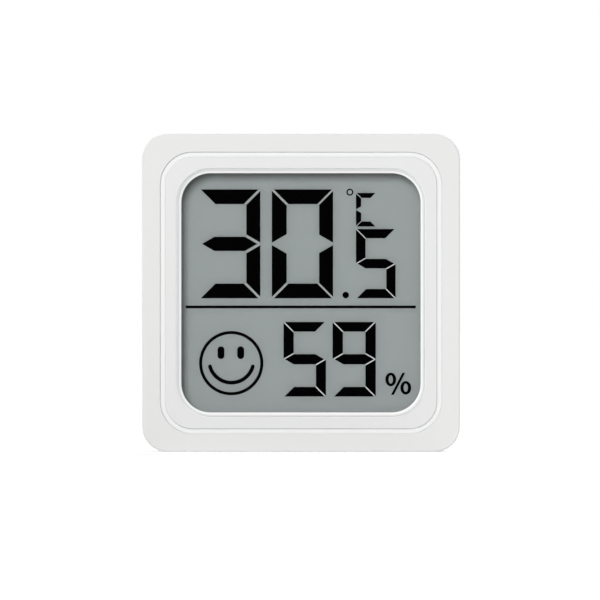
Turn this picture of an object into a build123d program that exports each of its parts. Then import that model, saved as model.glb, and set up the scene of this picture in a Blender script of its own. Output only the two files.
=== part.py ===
from build123d import *
import os
from math import cos, radians, sin

# A small square display that shows the temperature and humidity of a room, in millimetres.
# +Z is up, the display looks along -Y, and the origin is the middle of the underside.
# A depth is measured from the front face towards the back, and "up" from the middle of the case.

os.makedirs("parts", exist_ok=True)

# Front, from the window outwards
window_size = 32.36
window_corner_radius = 3.95
lip_width = 0.54
lip_depth = 0.2
lip_groove_width = 0.12
lip_groove_depth = 0.2
bezel_face_width = 1.55
channel_width = 0.61
channel_depth = 0.22
channel_corner_radius = 4.33
frame_border = 2.5

# Housing and cover
case_corner_radius = 3.45
case_wall = 1.4
front_wall = 1.7
back_wall = 1.4
back_shell_height = 3.3
front_edge_chamfer = 0.15
back_edge_radius = 1.5
bezel_edge_chamfer = 0.08
channel_edge_chamfer = 0.08
bezel_corner_relief = 0.03
seam_gap = 0.1
lap_height = 1.0
lap_thickness = 0.7
lap_clearance = 0.1

# Display cell
glass_side_margin = 1.2
glass_bottom_margin = 0.9
glass_top_margin = 0.5
contact_ledge = 1.3
glass_clearance = 0.12
film_margin = 0.8
gasket_width = 0.5
gasket_inset = 0.25
seal_width = 0.35
seal_inset = 0.1

# Layers, from the front to the back
bezel_thickness = 0.9
gasket_thickness = 0.15
film_thickness = 0.2
glass_thickness = 0.7
seal_thickness = 0.1
reflector_thickness = 0.2
stack_gap = 0.05
carrier_thickness = 2.0
board_thickness = 0.8
contact_space = 0.75
cell_thickness = 3.2
cell_end_gap = 0.15
lug_thickness = 0.65
lug_play = 0.1
land_thickness = 0.65
cap_gap = 0.1
cap_thickness = 1.05

# Battery, its well and its bayonet door
cell_diameter = 20.0
cell_side_gap = 0.25
cell_edge_chamfer = 0.3
cell_cap_radius = 8.6
cell_groove_width = 0.5
cell_groove_depth = 0.25
well_wall = 0.95
well_board_gap = 0.35
land_setback = 0.25
neck_clearance = 0.08
neck_wall = 1.1
lug_projection = 0.9
lug_side_gap = 0.13
collar_wall = 0.95
collar_floor = 0.65
cap_overlap = 0.45
cap_side_gap = 0.12
cap_edge_chamfer = 0.2
door_top_margin = 1.6
door_turn = 35
lug_count = 3
lug_width_angle = 26
lug_end_angle = 1.5
coin_slot_length = 14.0
coin_slot_width = 1.8
coin_slot_depth = 0.6
door_pad_radius = 2.2
door_rib_width = 0.8

# Fold-out stand
stand_hinge_height = 3.3
stand_side_inset = 8.55
stand_thickness = 1.4
stand_face_recess = 0.05
stand_back_gap = 0.1
stand_side_gap = 0.2
stand_end_gap = 0.15
stand_web = 1.5
stand_corner_radius = 1.6
stand_edge_chamfer = 0.2
stand_panel_inset = 2.0
stand_panel_radius = 1.6
stand_panel_depth = 0.4
nail_notch_width = 8.0
nail_notch_depth = 1.1
trunnion_radius = 0.5
trunnion_length = 1.1
trunnion_clearance = 0.05
ear_width = 1.7
pan_floor = 0.9
pan_margin = 0.9

# Screws, posts and hooks
post_radius = 2.3
post_overlap = 0.1
screw_shank_radius = 0.8
screw_head_radius = 1.4
screw_head_height = 0.9
screw_head_recess = 1.4
screw_length = 5.5
screw_head_gap = 0.15
screw_hole_gap = 0.15
screw_thread_gap = 0.03
pilot_extra_depth = 0.5
board_screw_radius = 0.6
board_screw_head_radius = 1.2
board_screw_head_height = 0.5
board_screw_length = 2.2
board_screw_side_inset = 2.5
board_screw_spread = 18.0
hook_spread = 14.0
hook_width = 4.0
hook_thickness = 0.9
hook_wall_gap = 0.2
hook_reach = 2.6
hook_catch_height = 0.6
hook_catch_length = 0.7
hook_pocket_gap = 0.15
press_pin_radius = 0.8
press_pin_side_inset = 1.7
press_pin_drop = 3.0
press_pin_gap = 0.05

# Board, and what is soldered to it
carrier_clearance = 0.15
carrier_rim_height = 1.2
carrier_opening_margin = 2.2
carrier_bar = 3.0
notch_clearance = 0.25
board_clearance = 0.3
board_slit_width = 0.9
strip_width = 1.1
strip_side_gap = 0.1
strip_end_margin = 0.3
chip_size = 5.0
chip_thickness = 0.85
chip_edge = 0.2
crystal_length = 3.2
crystal_width = 2.5
crystal_thickness = 0.7
crystal_corner_chamfer = 0.3
capacitor_length = 1.6
capacitor_width = 0.8
capacitor_thickness = 0.8
sensor_size = 2.5
sensor_thickness = 0.9
sensor_port_radius = 0.6
sensor_port_depth = 0.3
contact_sheet = 0.2
contact_gap = 0.05
negative_base_radius = 3.0
negative_finger_width = 2.0
negative_finger_reach = 7.2
negative_tip_length = 0.9
negative_finger_count = 3
positive_width = 4.0
positive_foot_length = 2.6
positive_leg_setback = 0.9
positive_bend_radius = 0.35
positive_slot_gap = 0.6
positive_top_gap = 0.2

# Button on the back and the switch under it
corner_inset = 4.9
button_radius = 2.0
button_side_gap = 0.12
button_face_recess = 0.3
button_edge_chamfer = 0.2
button_flange_radius = 2.7
button_flange_thickness = 0.6
button_flange_gap = 0.05
button_stem_radius = 1.0
button_stem_length = 0.75
button_guide_gap = 0.15
button_guide_wall = 0.75
button_guide_height = 1.2
plunger_gap = 0.03
switch_size = 4.5
switch_height = 1.7
switch_lid = 0.35
switch_floor = 0.4
plunger_radius = 1.1
plunger_side_gap = 0.1
plunger_foot_width = 0.4
plunger_foot_thickness = 0.4

# Vents and the bay behind them
vent_width = 0.9
vent_length = 5.0
vent_pitch = 1.7
vent_count = 4
side_vent_length = 1.4
side_vent_seam_gap = 0.4
bay_reach = 3.6
bay_rib_thickness = 0.8
bay_rib_gap = 0.1
bay_board_gap = 0.3

# Places on the board, as shares of its width, to the right and up from its middle
chip_place_share = (-0.12, -0.1)
crystal_place_share = (0.08, -0.1)
capacitor_place_shares = [
    (-0.12, -0.24),
    (-0.04, -0.24),
    (0.04, -0.24),
    (0.18, -0.02),
    (0.18, 0.06),
    (-0.28, -0.06),
]

# Sizes that follow from the front
lip_size = window_size + 2 * lip_width
groove_size = lip_size + 2 * lip_groove_width
bezel_face_size = groove_size + 2 * bezel_face_width
channel_size = bezel_face_size + 2 * channel_width
case_size = channel_size + 2 * frame_border
bezel_face_radius = channel_corner_radius - channel_width
inner_size = case_size - 2 * case_wall
inner_half = inner_size / 2
inner_radius = case_corner_radius - case_wall
glass_top = window_size / 2 + glass_top_margin
ledge_top = glass_top + contact_ledge
glass_bottom = -window_size / 2 - glass_bottom_margin
glass_width = window_size + 2 * glass_side_margin
seat_opening = 2 * (ledge_top + glass_clearance)

# Depth of the front of each layer
film_depth = bezel_thickness + gasket_thickness
front_glass_depth = film_depth + film_thickness
seal_depth = front_glass_depth + glass_thickness
rear_glass_depth = seal_depth + seal_thickness
reflector_depth = rear_glass_depth + glass_thickness
carrier_depth = reflector_depth + reflector_thickness + stack_gap
carrier_rear_depth = carrier_depth + carrier_thickness
board_depth = carrier_rear_depth + stack_gap
board_rear_depth = board_depth + board_thickness
cell_depth = board_rear_depth + contact_space
cell_rear_depth = cell_depth + cell_thickness
lug_depth = cell_rear_depth + cell_end_gap
land_depth = lug_depth + lug_thickness + lug_play
cap_depth = land_depth + land_thickness + cap_gap
case_depth = cap_depth + cap_thickness
seam_depth = case_depth - back_shell_height
back_wall_depth = case_depth - back_wall
lug_floor_depth = lug_depth - lug_play
cap_seat_depth = cap_depth - cap_gap
collar_front_depth = lug_floor_depth - collar_floor
well_front_depth = board_rear_depth + well_board_gap

# Radii about the battery's axis
cell_radius = cell_diameter / 2
well_radius = cell_radius + cell_side_gap
land_radius = well_radius + land_setback
neck_radius = land_radius - neck_clearance
lug_radius = neck_radius + lug_projection
lug_pocket_radius = lug_radius + lug_side_gap
collar_radius = lug_pocket_radius + collar_wall
cap_radius = lug_pocket_radius + cap_overlap
cap_seat_radius = cap_radius + cap_side_gap
door_up = inner_half - collar_radius - door_top_margin
door_height = case_size / 2 + door_up

# Places on the back
post_place = inner_half - post_radius + post_overlap
post_places = [(-post_place, -post_place), (post_place, -post_place)]
corner_place = inner_half - corner_inset
stand_width = case_size - 2 * stand_side_inset
stand_hinge_up = stand_hinge_height - case_size / 2
stand_hinge_depth = case_depth - stand_face_recess - stand_thickness / 2
stand_pocket_width = stand_width + 2 * stand_side_gap
stand_pocket_top = door_up - cap_seat_radius - stand_web
stand_pocket_bottom = stand_hinge_up - stand_thickness / 2 - stand_end_gap
stand_pocket_depth = stand_face_recess + stand_thickness + stand_back_gap
board_size = inner_size - 2 * board_clearance
board_screw_side = inner_half - board_screw_side_inset
press_pin_side = inner_half - press_pin_side_inset


def layer(depth):
    """The plane at this depth behind the front face, seen from the front."""
    return Plane(origin=(0, depth - case_depth / 2, case_size / 2), x_dir=(1, 0, 0), z_dir=(0, -1, 0))


def door_layer(depth):
    """The plane at this depth, seen from behind, centred on the battery's axis."""
    return Plane(origin=(0, depth - case_depth / 2, door_height), x_dir=(-1, 0, 0), z_dir=(0, 1, 0))


def door_section(depth, angle=0):
    """A plane through the battery's axis: outwards along local x and backwards along local y."""
    outwards = (cos(radians(angle)), 0, sin(radians(angle)))
    across = (-sin(radians(angle)), 0, cos(radians(angle)))
    return Plane(origin=(0, depth - case_depth / 2, door_height), x_dir=outwards, z_dir=across)


def across_section(side, depth=0, up=0):
    """An upright plane across the case: backwards along local x and upwards along local y."""
    middle = (side, depth - case_depth / 2, case_size / 2 + up)
    return Plane(origin=middle, x_dir=(0, 1, 0), z_dir=(1, 0, 0))


def ring_sector(inner_radius_of_sector, outer_radius_of_sector, start_angle, angle):
    """A piece of a flat ring."""
    with BuildSketch() as sector:
        with BuildLine():
            inner_arc = CenterArc((0, 0), inner_radius_of_sector, start_angle, angle)
            outer_arc = CenterArc((0, 0), outer_radius_of_sector, start_angle, angle)
            Line(inner_arc @ 0, outer_arc @ 0)
            Line(inner_arc @ 1, outer_arc @ 1)
        make_face()
    return sector.sketch


# Front housing: the white outer frame with the side walls, a seat for the bezel and two screw posts
lap_size = inner_size + 2 * (lap_thickness + lap_clearance)
screw_seat_depth = case_depth - screw_head_recess
pilot_depth = screw_length - (screw_seat_depth - seam_depth) + pilot_extra_depth
hook_tip_depth = seam_depth - hook_reach
hook_catch_up = inner_half - hook_wall_gap + hook_catch_height
hook_pocket_length = hook_catch_length + 2 * hook_pocket_gap
hook_pocket_height = hook_catch_up + hook_pocket_gap - inner_half
channel_mouth_size = channel_size + 2 * channel_edge_chamfer
channel_mouth_radius = channel_corner_radius + channel_edge_chamfer
with BuildPart() as front_housing:
    with BuildSketch(layer(seam_depth - seam_gap)):
        RectangleRounded(case_size, case_size, case_corner_radius)
    extrude(amount=seam_depth - seam_gap)
    chamfer(front_housing.edges().group_by(Axis.Y)[0], length=front_edge_chamfer)
    with BuildSketch(layer(bezel_thickness)):
        RectangleRounded(channel_size, channel_size, channel_corner_radius)
    extrude(amount=bezel_thickness, mode=Mode.SUBTRACT)
    with BuildSketch(layer(channel_edge_chamfer)):
        RectangleRounded(channel_size, channel_size, channel_corner_radius)
    with BuildSketch(layer(0)):
        RectangleRounded(channel_mouth_size, channel_mouth_size, channel_mouth_radius)
    loft(mode=Mode.SUBTRACT)
    with BuildSketch(layer(front_wall)):
        Rectangle(seat_opening, seat_opening)
    extrude(amount=front_wall - bezel_thickness, mode=Mode.SUBTRACT)
    with BuildSketch(layer(seam_depth - seam_gap)):
        RectangleRounded(inner_size, inner_size, inner_radius)
    extrude(amount=seam_depth - seam_gap - front_wall, mode=Mode.SUBTRACT)
    with BuildSketch(layer(seam_depth)):
        with Locations(*post_places):
            Circle(post_radius)
    extrude(amount=seam_depth - carrier_depth)
    with BuildSketch(layer(seam_depth)):
        RectangleRounded(lap_size, lap_size, inner_radius + lap_thickness + lap_clearance)
        RectangleRounded(inner_size, inner_size, inner_radius, mode=Mode.SUBTRACT)
    extrude(amount=lap_height + lap_clearance, mode=Mode.SUBTRACT)
    with BuildSketch(layer(seam_depth)):
        with Locations(*post_places):
            Circle(screw_shank_radius + screw_thread_gap)
    extrude(amount=pilot_depth, mode=Mode.SUBTRACT)
    with BuildSketch(layer(hook_tip_depth + hook_catch_length + hook_pocket_gap)):
        with Locations((-hook_spread / 2, inner_half), (hook_spread / 2, inner_half)):
            Rectangle(hook_width + 2 * hook_pocket_gap, 2 * hook_pocket_height)
    extrude(amount=hook_pocket_length, mode=Mode.SUBTRACT)

# Screen bezel: bonded into the frame from the front; its flange is the floor of the channel between them
with BuildPart() as screen_bezel:
    with BuildSketch(layer(bezel_thickness)):
        RectangleRounded(channel_size, channel_size, channel_corner_radius + bezel_corner_relief)
    extrude(amount=bezel_thickness - channel_depth)
    with BuildSketch(layer(bezel_thickness)):
        RectangleRounded(bezel_face_size, bezel_face_size, bezel_face_radius)
    extrude(amount=bezel_thickness)
    chamfer(screen_bezel.edges().group_by(Axis.Y)[0], length=bezel_edge_chamfer)
    with BuildSketch(layer(bezel_thickness)):
        RectangleRounded(window_size, window_size, window_corner_radius)
    extrude(amount=bezel_thickness, mode=Mode.SUBTRACT)
    with BuildSketch(layer(lip_depth)):
        RectangleRounded(window_size, window_size, window_corner_radius)
    with BuildSketch(layer(0)):
        RectangleRounded(lip_size, lip_size, window_corner_radius + lip_width)
    loft(mode=Mode.SUBTRACT)
    with BuildSketch(layer(lip_groove_depth)):
        RectangleRounded(groove_size, groove_size, window_corner_radius + lip_width + lip_groove_width)
        RectangleRounded(lip_size, lip_size, window_corner_radius + lip_width, mode=Mode.SUBTRACT)
    extrude(amount=lip_groove_depth, mode=Mode.SUBTRACT)

# Display gasket: the thin adhesive frame that bonds the display to the back of the bezel
gasket_inner_size = window_size + 2 * gasket_inset
gasket_outer_size = gasket_inner_size + 2 * gasket_width
with BuildPart() as display_gasket:
    with BuildSketch(layer(film_depth)):
        Rectangle(gasket_outer_size, gasket_outer_size)
        Rectangle(gasket_inner_size, gasket_inner_size, mode=Mode.SUBTRACT)
    extrude(amount=gasket_thickness)

# Front polariser: the film that shows in the window
film_size = window_size + 2 * film_margin
with BuildPart() as front_polariser:
    with BuildSketch(layer(film_depth + film_thickness)):
        Rectangle(film_size, film_size)
    extrude(amount=film_thickness)

# Front glass: taller than the rear one, so that its electrodes meet the contact strip
with BuildPart() as front_glass:
    with BuildSketch(layer(front_glass_depth + glass_thickness)):
        with Locations((0, (ledge_top + glass_bottom) / 2)):
            Rectangle(glass_width, ledge_top - glass_bottom)
    extrude(amount=glass_thickness)

# Glass seal: the bead that joins the two glasses and keeps the liquid crystal in
seal_outer_width = glass_width - 2 * seal_inset
seal_outer_height = glass_top - glass_bottom - 2 * seal_inset
seal_inner_width = seal_outer_width - 2 * seal_width
seal_inner_height = seal_outer_height - 2 * seal_width
with BuildPart() as glass_seal:
    with BuildSketch(layer(seal_depth + seal_thickness)):
        with Locations((0, (glass_top + glass_bottom) / 2)):
            Rectangle(seal_outer_width, seal_outer_height)
            Rectangle(seal_inner_width, seal_inner_height, mode=Mode.SUBTRACT)
    extrude(amount=seal_thickness)

# Rear glass
with BuildPart() as rear_glass:
    with BuildSketch(layer(rear_glass_depth + glass_thickness)):
        with Locations((0, (glass_top + glass_bottom) / 2)):
            Rectangle(glass_width, glass_top - glass_bottom)
    extrude(amount=glass_thickness)

# Rear reflector: polariser with the grey reflecting film that the figures stand out against
reflector_height = glass_top - glass_bottom - 2 * seal_inset
with BuildPart() as rear_reflector:
    with BuildSketch(layer(reflector_depth + reflector_thickness)):
        with Locations((0, (glass_top + glass_bottom) / 2)):
            Rectangle(glass_width - 2 * seal_inset, reflector_height)
    extrude(amount=reflector_thickness)

# Display carrier: the moulded frame that holds the glass from behind and guides the contact strip
carrier_size = inner_size - 2 * carrier_clearance
carrier_radius = inner_radius - carrier_clearance
carrier_pocket_width = glass_width + 2 * glass_clearance
carrier_pocket_top = ledge_top + glass_clearance
carrier_pocket_bottom = glass_bottom - glass_clearance
strip_length = window_size - 2 * strip_end_margin
strip_up = glass_top + strip_side_gap + strip_width / 2
carrier_opening_width = window_size - 2 * carrier_opening_margin
carrier_opening_top = glass_top - carrier_bar
carrier_opening_bottom = glass_bottom + carrier_bar
board_screw_places = [
    (side * board_screw_side, end * board_screw_spread / 2) for side in (-1, 1) for end in (-1, 1)
]
with BuildPart() as display_carrier:
    with BuildSketch(layer(carrier_rear_depth)):
        RectangleRounded(carrier_size, carrier_size, carrier_radius)
        with Locations((0, (carrier_opening_top + carrier_opening_bottom) / 2)):
            Rectangle(
                carrier_opening_width, carrier_opening_top - carrier_opening_bottom, mode=Mode.SUBTRACT
            )
    extrude(amount=carrier_thickness)
    with BuildSketch(layer(carrier_depth)):
        RectangleRounded(carrier_size, carrier_size, carrier_radius)
        with Locations((0, (carrier_pocket_top + carrier_pocket_bottom) / 2)):
            Rectangle(carrier_pocket_width, carrier_pocket_top - carrier_pocket_bottom, mode=Mode.SUBTRACT)
    extrude(amount=carrier_rim_height)
    with BuildSketch(layer(carrier_rear_depth)):
        with Locations((0, strip_up)):
            Rectangle(strip_length + 2 * strip_side_gap, strip_width + 2 * strip_side_gap)
    extrude(amount=carrier_thickness, mode=Mode.SUBTRACT)
    with BuildSketch(layer(carrier_rear_depth)):
        with Locations(*post_places):
            Circle(post_radius + notch_clearance)
    extrude(amount=carrier_thickness + carrier_rim_height, mode=Mode.SUBTRACT)
    with BuildSketch(layer(carrier_rear_depth)):
        with Locations(*board_screw_places):
            Circle(board_screw_radius + screw_thread_gap)
    extrude(amount=carrier_thickness, mode=Mode.SUBTRACT)

# Contact strip: the striped rubber bar that joins the board's pads to the glass
with BuildPart() as contact_strip:
    with BuildSketch(layer(board_depth)):
        with Locations((0, strip_up)):
            Rectangle(strip_length, strip_width)
    extrude(amount=board_depth - seal_depth)

# Circuit board, notched round the screw posts, with a slit that keeps its warmth from the sensor
slit_reach = corner_place - bay_reach
with BuildPart() as circuit_board:
    with BuildSketch(layer(board_rear_depth)):
        RectangleRounded(board_size, board_size, inner_radius - board_clearance)
        with Locations(*post_places):
            Circle(post_radius + notch_clearance, mode=Mode.SUBTRACT)
        with Locations(*board_screw_places):
            Circle(board_screw_radius + screw_hole_gap, mode=Mode.SUBTRACT)
        with Locations((-corner_place, slit_reach + bay_rib_thickness + board_slit_width)):
            SlotOverall(2 * bay_reach - 2 * bay_rib_thickness, board_slit_width, mode=Mode.SUBTRACT)
    extrude(amount=board_thickness)

# Controller chip, on the front of the board
chip_x = chip_place_share[0] * board_size
chip_up = chip_place_share[1] * board_size
with BuildPart() as controller_chip:
    with BuildSketch(layer(board_depth)):
        with Locations((chip_x, chip_up)):
            Rectangle(chip_size, chip_size)
    extrude(amount=chip_thickness)
    chamfer(controller_chip.edges().group_by(Axis.Y)[0], length=chip_edge)

# Timing crystal in its metal can
with BuildPart() as timing_crystal:
    with BuildSketch(layer(board_depth)) as crystal_outline:
        with Locations((crystal_place_share[0] * board_size, crystal_place_share[1] * board_size)):
            Rectangle(crystal_length, crystal_width)
        chamfer(crystal_outline.vertices(), length=crystal_corner_chamfer)
    extrude(amount=crystal_thickness)

# Chip capacitors, as one group
with BuildPart() as chip_capacitors:
    with BuildSketch(layer(board_depth)):
        with Locations(*[(right * board_size, up * board_size) for right, up in capacitor_place_shares]):
            Rectangle(capacitor_length, capacitor_width)
    extrude(amount=capacitor_thickness)

# Humidity and temperature sensor, with its open port, on the back of the board behind the vents
with BuildPart() as humidity_sensor:
    with BuildSketch(layer(board_rear_depth + sensor_thickness)):
        with Locations((-corner_place, corner_place)):
            Rectangle(sensor_size, sensor_size)
    extrude(amount=sensor_thickness)
    with BuildSketch(layer(board_rear_depth + sensor_thickness)):
        with Locations((-corner_place, corner_place)):
            Circle(sensor_port_radius)
    extrude(amount=sensor_port_depth, mode=Mode.SUBTRACT)

# Negative battery contact: a base soldered to the board and three sprung fingers under the cell
finger_angles = [90 + 360 / negative_finger_count * turn for turn in range(negative_finger_count)]
with BuildPart() as negative_contact:
    with BuildSketch(door_layer(board_rear_depth)):
        Circle(negative_base_radius)
    extrude(amount=contact_sheet)
    finger_tip = contact_space - contact_gap - contact_sheet / 2
    finger_bend = negative_finger_reach - negative_tip_length
    with BuildSketch(*[door_section(board_rear_depth, angle) for angle in finger_angles]):
        with BuildLine():
            Polyline(
                (negative_base_radius - contact_sheet, contact_sheet / 2),
                (finger_bend, finger_tip),
                (negative_finger_reach, finger_tip - contact_sheet),
            )
        trace(line_width=contact_sheet)
    extrude(amount=negative_finger_width / 2, both=True)

# Positive battery contact: a foot on the board and a bent leaf against the rim of the cell
leaf_top = collar_front_depth - positive_top_gap - board_rear_depth
leaf_bump = -cell_radius - contact_gap - contact_sheet / 2
leaf_back = leaf_bump - positive_leg_setback
with BuildPart() as positive_contact:
    with BuildSketch(across_section(0, board_rear_depth, door_up)):
        with BuildLine():
            FilletPolyline(
                (contact_sheet / 2, leaf_back - positive_foot_length),
                (contact_sheet / 2, leaf_back),
                (leaf_top / 4, leaf_back),
                (leaf_top / 4 * 3, leaf_bump),
                (leaf_top, leaf_bump - positive_leg_setback / 2),
                radius=positive_bend_radius,
            )
        trace(line_width=contact_sheet)
    extrude(amount=positive_width / 2, both=True)

# Coin cell, positive side to the back; the groove is its insulating ring
with BuildPart() as coin_cell:
    with BuildSketch(door_layer(cell_depth)):
        Circle(cell_radius)
    extrude(amount=cell_thickness)
    chamfer(coin_cell.edges().filter_by(GeomType.CIRCLE), length=cell_edge_chamfer)
    with BuildSketch(door_layer(cell_depth)):
        Circle(cell_cap_radius + cell_groove_width)
        Circle(cell_cap_radius, mode=Mode.SUBTRACT)
    extrude(amount=cell_groove_depth, mode=Mode.SUBTRACT)

# Unit button: the cap stands in the back wall and its flange keeps it in; a stem reaches the switch
button_face_depth = case_depth - button_face_recess
button_flange_rear = back_wall_depth - button_flange_gap
button_flange_front = button_flange_rear - button_flange_thickness
plunger_top_depth = button_flange_front - button_stem_length
with BuildPart() as unit_button:
    with BuildSketch(layer(button_face_depth)):
        with Locations((corner_place, corner_place)):
            Circle(button_radius)
    extrude(amount=button_face_depth - button_flange_rear)
    chamfer(unit_button.edges().group_by(Axis.Y)[-1], length=button_edge_chamfer)
    with BuildSketch(layer(button_flange_rear)):
        with Locations((corner_place, corner_place)):
            Circle(button_flange_radius)
    extrude(amount=button_flange_thickness)
    with BuildSketch(layer(button_flange_front)):
        with Locations((corner_place, corner_place)):
            Circle(button_stem_radius)
    extrude(amount=button_stem_length - plunger_gap)

# Tact switch: the body that the plunger moves in
switch_rear_depth = board_rear_depth + switch_height
with BuildPart() as tact_switch:
    with BuildSketch(layer(switch_rear_depth)):
        with Locations((corner_place, corner_place)):
            Rectangle(switch_size, switch_size)
    extrude(amount=switch_height)
    with BuildSketch(layer(switch_rear_depth - switch_lid)):
        with Locations((corner_place, corner_place)):
            Circle(plunger_radius + plunger_foot_width + plunger_side_gap)
    extrude(amount=switch_height - switch_lid - switch_floor, mode=Mode.SUBTRACT)
    with BuildSketch(layer(switch_rear_depth)):
        with Locations((corner_place, corner_place)):
            Circle(plunger_radius + plunger_side_gap)
    extrude(amount=switch_lid, mode=Mode.SUBTRACT)

# Switch plunger: its foot is held under the switch's lid
plunger_foot_rear = switch_rear_depth - switch_lid - plunger_side_gap
with BuildPart() as switch_plunger:
    with BuildSketch(layer(plunger_top_depth)):
        with Locations((corner_place, corner_place)):
            Circle(plunger_radius)
    extrude(amount=plunger_top_depth - plunger_foot_rear)
    with BuildSketch(layer(plunger_foot_rear)):
        with Locations((corner_place, corner_place)):
            Circle(plunger_radius + plunger_foot_width)
    extrude(amount=plunger_foot_thickness)

# Back cover: shell with a lap round its rim, battery well and bayonet collar, stand pocket, button
# guide, sensor bay with vents, screw towers, snap hooks and the pins that press the board home
tongue_size = inner_size + 2 * lap_thickness
pan_top = stand_pocket_top + pan_margin
pan_bottom = stand_pocket_bottom - pan_margin
bay_edge = corner_place - bay_reach
bay_rib_length = inner_half - bay_rib_gap - bay_edge
bay_rib_middle = bay_edge + bay_rib_length / 2
side_vent_depth = seam_depth + side_vent_seam_gap + side_vent_length / 2
lug_half_angle = lug_width_angle / 2 + lug_end_angle
lug_angles = [90 + 360 / lug_count * turn for turn in range(lug_count)]
with BuildPart() as back_cover:
    with BuildSketch(layer(case_depth)):
        RectangleRounded(case_size, case_size, case_corner_radius)
    extrude(amount=back_shell_height)
    fillet(back_cover.edges().group_by(Axis.Y)[-1], radius=back_edge_radius)
    with BuildSketch(layer(back_wall_depth)):
        RectangleRounded(inner_size, inner_size, inner_radius)
    extrude(amount=back_wall_depth - seam_depth, mode=Mode.SUBTRACT)
    # Lap that slides inside the rim of the front housing
    with BuildSketch(layer(seam_depth)):
        RectangleRounded(tongue_size, tongue_size, inner_radius + lap_thickness)
        RectangleRounded(inner_size, inner_size, inner_radius, mode=Mode.SUBTRACT)
    extrude(amount=lap_height)
    # Screw towers on the posts of the front housing, and pins that press the board
    with BuildSketch(layer(back_wall_depth)):
        with Locations(*post_places):
            Circle(post_radius)
    extrude(amount=back_wall_depth - seam_depth)
    with BuildSketch(layer(back_wall_depth)):
        with Locations((-press_pin_side, -press_pin_drop), (press_pin_side, -press_pin_drop)):
            Circle(press_pin_radius)
    extrude(amount=back_wall_depth - board_rear_depth - press_pin_gap)
    # Pan under the stand pocket, with an ear at each end for the trunnions
    with BuildSketch(layer(back_wall_depth)):
        with Locations((0, (pan_top + pan_bottom) / 2)):
            Rectangle(stand_pocket_width + 2 * ear_width, pan_top - pan_bottom)
    extrude(amount=stand_pocket_depth + pan_floor - back_wall)
    # Two ribs that shut the sensor's corner off from the warmth of the rest
    with BuildSketch(layer(back_wall_depth)):
        with Locations((-bay_rib_middle, bay_edge)):
            Rectangle(bay_rib_length, bay_rib_thickness)
        with Locations((-bay_edge, bay_rib_middle)):
            Rectangle(bay_rib_thickness, bay_rib_length)
    extrude(amount=back_wall_depth - board_rear_depth - bay_board_gap)
    # Guide tube for the button's flange
    with BuildSketch(layer(back_wall_depth)):
        with Locations((corner_place, corner_place)):
            Circle(button_flange_radius + button_guide_gap + button_guide_wall)
            Circle(button_flange_radius + button_guide_gap, mode=Mode.SUBTRACT)
    extrude(amount=button_guide_height)
    # Snap hooks along the top
    with BuildSketch(*[across_section(side * hook_spread / 2) for side in (-1, 1)]):
        with BuildLine():
            Polyline(
                (back_wall_depth, inner_half - hook_wall_gap - hook_thickness),
                (back_wall_depth, inner_half - hook_wall_gap),
                (hook_tip_depth + hook_catch_length, inner_half - hook_wall_gap),
                (hook_tip_depth + hook_catch_length, hook_catch_up),
                (hook_tip_depth + hook_catch_length / 2, hook_catch_up),
                (hook_tip_depth, inner_half - hook_wall_gap),
                (hook_tip_depth, inner_half - hook_wall_gap - hook_thickness),
                close=True,
            )
        make_face()
    extrude(amount=hook_width / 2, both=True)
    # Collar and battery well, bored in three steps from the back
    with BuildSketch(door_layer(collar_front_depth)):
        Circle(collar_radius)
    extrude(amount=back_wall_depth - collar_front_depth)
    with BuildSketch(door_layer(well_front_depth)):
        Circle(well_radius + well_wall)
    extrude(amount=collar_front_depth - well_front_depth)
    with BuildSketch(door_layer(well_front_depth)):
        Circle(well_radius)
    extrude(amount=case_depth - well_front_depth, mode=Mode.SUBTRACT)
    with BuildSketch(door_layer(lug_floor_depth)):
        Circle(land_radius)
    extrude(amount=case_depth - lug_floor_depth, mode=Mode.SUBTRACT)
    with BuildSketch(door_layer(cap_seat_depth)):
        Circle(cap_seat_radius)
    extrude(amount=case_depth - cap_seat_depth, mode=Mode.SUBTRACT)
    # Pockets that the lugs turn in, and the notches in the land that let them out when it is open
    with BuildSketch(door_layer(lug_floor_depth)):
        for lug_angle in lug_angles:
            pocket_start = lug_angle - lug_half_angle
            add(ring_sector(well_radius, lug_pocket_radius, pocket_start, door_turn + 2 * lug_half_angle))
    extrude(amount=land_depth - lug_floor_depth, mode=Mode.SUBTRACT)
    with BuildSketch(door_layer(lug_floor_depth)):
        for lug_angle in lug_angles:
            notch_start = lug_angle + door_turn - lug_half_angle
            add(ring_sector(well_radius, lug_pocket_radius, notch_start, 2 * lug_half_angle))
    extrude(amount=cap_seat_depth - lug_floor_depth, mode=Mode.SUBTRACT)
    # Slot in the well for the positive contact
    with BuildSketch(layer(collar_front_depth)):
        with Locations((0, door_up - well_radius)):
            Rectangle(positive_width + 2 * positive_slot_gap, 4 * well_wall)
    extrude(amount=collar_front_depth - well_front_depth, mode=Mode.SUBTRACT)
    # Pocket of the stand and the bores of its trunnions
    with BuildSketch(layer(case_depth)) as stand_pocket:
        with Locations((0, (stand_pocket_top + stand_pocket_bottom) / 2)):
            Rectangle(stand_pocket_width, stand_pocket_top - stand_pocket_bottom)
        fillet(stand_pocket.vertices().group_by(Axis.Y)[-1], radius=stand_corner_radius)
    extrude(amount=stand_pocket_depth, mode=Mode.SUBTRACT)
    bore_half_length = stand_width / 2 + trunnion_length + stand_side_gap
    with BuildSketch(across_section(-bore_half_length, stand_hinge_depth, stand_hinge_up)):
        Circle(trunnion_radius + trunnion_clearance)
    extrude(amount=2 * bore_half_length, mode=Mode.SUBTRACT)
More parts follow.
